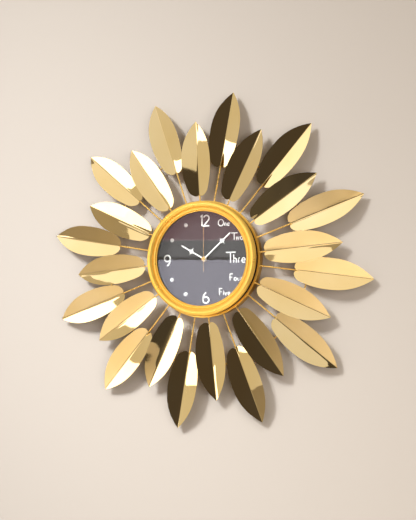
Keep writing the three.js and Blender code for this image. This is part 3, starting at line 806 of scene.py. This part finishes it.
# Each name, what it says, its left end, its base line, its cap height and its stroke, in millimetres.
FIGURES = [
    ("figure_12", "12", -9.6, 70.6, 22.3, 3.1),
    ("figure_6", "6", -4.0, -92.6, 22.4, 3.1),
    ("figure_9", "9", -91.3, -12.4, 22.8, 3.1),
    ("hour_one", "One", 30.4, 69.2, 13.6, 1.9),
    ("hour_two", "Two", 58.9, 38.9, 14.4, 1.9),
    ("hour_three", "Three", 47.2, -9.2, 22.0, 2.3),
    ("hour_four", "Four", 54.3, -46.4, 13.8, 1.9),
    ("hour_five", "Five", 31.0, -76.4, 13.8, 1.9),
]
for figure_name, word, left, base, cap, stroke in FIGURES:
    merged(figure_name, text(word, left, base, cap, stroke), MATERIALS["white_enamel"], "white_enamel")


def stone(name):
    """A round foiled crystal in place of a dial stud: a girdle, two rows of facets and a table."""
    low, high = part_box(name)
    centre = (low + high) / 2
    radius = (high.x - low.x) / 2
    tall = high.y - low.y
    # Each ring of corners: its share of the radius and of the height, and its turn in whole sides.
    rings = [(1.0, 0.0, 0), (1.0, 0.22, 0), (0.78, 0.66, 0.5), (0.48, 1.0, 0)]
    sides = 16
    vertices = []
    for share, up, shift in rings:
        for k in range(sides):
            angle = 2 * math.pi * (k + shift) / sides
            vertices.append((
                centre.x + radius * share * math.cos(angle), high.y - tall * up,
                centre.z + radius * share * math.sin(angle),
            ))
    faces = [tuple(range(sides)), tuple(range(3 * sides, 4 * sides))]
    for k in range(sides):
        k2 = (k + 1) % sides
        faces.append((k, k2, sides + k2, sides + k))
        faces.append((sides + k, sides + k2, 2 * sides + k))
        faces.append((2 * sides + k, sides + k2, 2 * sides + k2))
        faces.append((2 * sides + k, 2 * sides + k2, 3 * sides + k2))
        faces.append((2 * sides + k, 3 * sides + k2, 3 * sides + k))
    piece = make(f"{name}_stone", vertices, faces, MATERIALS["stud_crystal"], "stud_crystal", sharp=4)
    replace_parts(piece, name)


for stud_name in [name for name in nodes if name.startswith("dial_stud")]:
    stone(stud_name)

NUT_BACK = DIAL_FACE + 0.3
NUT_FRONT = -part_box("dial_nut")[0].y / MM
NUT_RADIUS = 6
NUT_DISC = disc(DIAL_BORE, NUT_RADIUS, NUT_BACK, NUT_FRONT, 0.5, 64)
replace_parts(make("dial_nut_turned", *NUT_DISC, MATERIALS["brass"], "brass"), "dial_nut")

# ---- CAD nodes that keep their shape ----

SLOT_OF = {part["node"]: part["material_slot"] for part in frame["record"]["subparts"]}
BEVELS = {                       # mm
    "hour_hand": 0.12, "minute_hand": 0.12, "second_hand": 0.08,
    "movement_housing": 0.5, "movement_cover": 0.3, "hanger_bracket": 0.35,
    "setting_knob": 0.25, "battery": 0.5, "circuit_board": 0.1, "stator": 0.1,
}


def finish_node(name):
    """Gives a CAD node the material of its slot and, where listed, a small bevel on its sharp edges."""
    node = nodes[name]
    node.data.materials.clear()
    node.data.materials.append(MATERIALS[SLOT_OF[name]])
    if name in BEVELS:
        weld = node.modifiers.new("weld", "WELD")
        weld.merge_threshold = 1e-6
        bevel = node.modifiers.new("bevel", "BEVEL")
        bevel.width = BEVELS[name] * MM
        bevel.segments = 3
        bevel.limit_method = "ANGLE"
        bevel.angle_limit = math.radians(40)
        bevel.harden_normals = False


for node_name, node in nodes.items():
    if not node.hide_render:
        finish_node(node_name)

# ---- stage ----

def stage_paint(name, color):
    """Plain matt paint that is clear from behind, so that the clock's back can be seen."""
    material = bpy.data.materials.new(name)
    material.use_nodes = True
    tree = material.node_tree
    shader = tree.nodes["Principled BSDF"]
    shader.inputs["Roughness"].default_value = 0.8
    shader.inputs["Base Color"].default_value = (*color, 1)
    out = tree.nodes["Material Output"]
    side = tree.nodes.new("ShaderNodeNewGeometry")
    clear = tree.nodes.new("ShaderNodeBsdfTransparent")
    blend = tree.nodes.new("ShaderNodeMixShader")
    tree.links.new(side.outputs["Backfacing"], blend.inputs["Fac"])
    tree.links.new(shader.outputs["BSDF"], blend.inputs[1])
    tree.links.new(clear.outputs["BSDF"], blend.inputs[2])
    tree.links.new(blend.outputs["Shader"], out.inputs["Surface"])
    return material


def wall():
    """A plain pale wall for the clock to hang on, and a plain pale floor below it."""
    reach, low, back = 3.0, -1.5, 0.0004
    shapes = {
        "wall": (
            (0.40, 0.362, 0.325),
            [(-reach, back, low), (reach, back, low), (reach, back, reach), (-reach, back, reach)],
        ),
        "floor": (
            (0.62, 0.55, 0.46),
            [(-reach, -reach, low), (reach, -reach, low), (reach, back, low), (-reach, back, low)],
        ),
    }
    for name, (color, corners) in shapes.items():
        mesh = bpy.data.meshes.new(name)
        mesh.from_pydata(corners, [], [(0, 1, 2, 3)])
        mesh.materials.append(stage_paint(f"{name}_paint", color))
        plane = bpy.data.objects.new(name, mesh)
        bpy.context.scene.collection.objects.link(plane)
        plane.visible_shadow = False
        plane.visible_diffuse = False


# Soft panels round the clock, which its mirror surfaces show: where each stands, in degrees round
# and above the axis, its width and height in metres, how bright its face is and its colour.
PANEL_DISTANCE = 1.9
PANELS = [
    ("panel_left", -63.5, 1, (0.42, 0.56), 2.2, (1.0, 0.99, 0.97)),
    ("panel_low_left", -54, -17, (0.30, 0.24), 2.2, (1.0, 0.99, 0.97)),
    ("panel_upper_left", -59, 24, (0.26, 0.26), 2.2, (1.0, 0.99, 0.97)),
    ("panel_high_left", -44, 42, (0.50, 0.46), 0.72, (1.0, 1.0, 1.0)),
    ("panel_overhead", -20, 52, (0.40, 0.26), 0.72, (1.0, 1.0, 1.0)),
    ("panel_high_right", 6, 36, (1.4, 0.9), 0.72, (1.0, 0.94, 0.84)),
    ("panel_front", -20, -1.5, (0.7, 0.42), 3.5, (0.86, 0.83, 1.0)),
    ("panel_front_middle", -20, 6.2, (0.7, 0.07), 1.0, (0.97, 0.97, 1.0)),
    ("panel_front_high", -20, 10.3, (0.7, 0.21), 1.5, (1.0, 0.50, 0.60)),
]
COOL = (0.97, 1.0, 1.02)
WARM = (1.0, 0.97, 0.93)
WARMER = (1.0, 0.93, 0.85)


def outward(azimuth, elevation):
    """The way from the clock into the room, azimuth turning towards the viewer's right."""
    azimuth, elevation = math.radians(azimuth), math.radians(elevation)
    level = math.cos(elevation)
    return Vector((math.sin(azimuth) * level, -math.cos(azimuth) * level, math.sin(elevation)))


def area_light(name, place, size, brightness, color, mirrored, aim=AXIS, spread=180):
    """A panel facing its aim: its brightness, if unnarrowed, is what a mirror would show of it."""
    data = bpy.data.lights.new(name, "AREA")
    data.shape = "RECTANGLE"
    data.size, data.size_y = size
    data.energy = brightness * math.pi * size[0] * size[1]
    data.color = color
    data.spread = math.radians(spread)
    lamp = bpy.data.objects.new(name, data)
    lamp.location = place
    lamp.rotation_euler = (aim - place).to_track_quat("-Z", "Y").to_euler()
    bpy.context.scene.collection.objects.link(lamp)
    lamp.visible_camera = False
    lamp.visible_glossy = mirrored


def room_light():
    """An even, warm surround that is paler to the left and darker to the right."""
    world = bpy.data.worlds.new("soft_room")
    bpy.context.scene.world = world
    world.use_nodes = True
    tree = world.node_tree
    place = tree.nodes.new("ShaderNodeTexCoord")
    split = tree.nodes.new("ShaderNodeSeparateXYZ")
    across = tree.nodes.new("ShaderNodeMapRange")
    across.inputs["From Min"].default_value = -1
    ramp = tree.nodes.new("ShaderNodeValToRGB")
    stops = [
        (0.0, (0.74, 0.66, 0.52)), (0.36, (0.44, 0.37, 0.27)), (0.62, (0.06, 0.05, 0.04)),
        (0.78, (0.08, 0.06, 0.045)), (1.0, (0.40, 0.36, 0.31)),
    ]
    elements = ramp.color_ramp.elements
    while len(elements) < len(stops):
        elements.new(0.5)
    for element, (position, color) in zip(elements, stops):
        element.position = position
        element.color = (*color, 1)
    tree.links.new(place.outputs["Generated"], split.inputs["Vector"])
    tree.links.new(split.outputs["X"], across.inputs["Value"])
    tree.links.new(across.outputs["Result"], ramp.inputs["Fac"])
    tree.links.new(ramp.outputs["Color"], tree.nodes["Background"].inputs["Color"])


def lights():
    """The panels that the mirrors show, and four lamps that they don't."""
    room_light()
    for name, azimuth, elevation, size, brightness, color in PANELS:
        area_light(name, AXIS + PANEL_DISTANCE * outward(azimuth, elevation), size, brightness, color, True)
    low_left = AXIS + Vector((-0.25, 0, -0.3))
    area_light("key", AXIS + 3.2 * outward(-30, 33), (0.7, 0.7), 11, COOL, False, low_left, 56)
    above_floor = AXIS + Vector((0, -1.5, 1.2))
    floor_spot = AXIS + Vector((0, -1.5, -1.4))
    area_light("floor_light", above_floor, (1.0, 1.0), 9, WARM, False, floor_spot, 100)
    area_light("fill", AXIS + 2.6 * outward(39, -4), (1.6, 1.6), 5.5, WARMER, False)
    area_light("rear", AXIS + 2.4 * outward(165, 19), (1.6, 1.6), 8, WARM, False)


wall()
lights()
bpy.context.scene.view_settings.view_transform = "Standard"
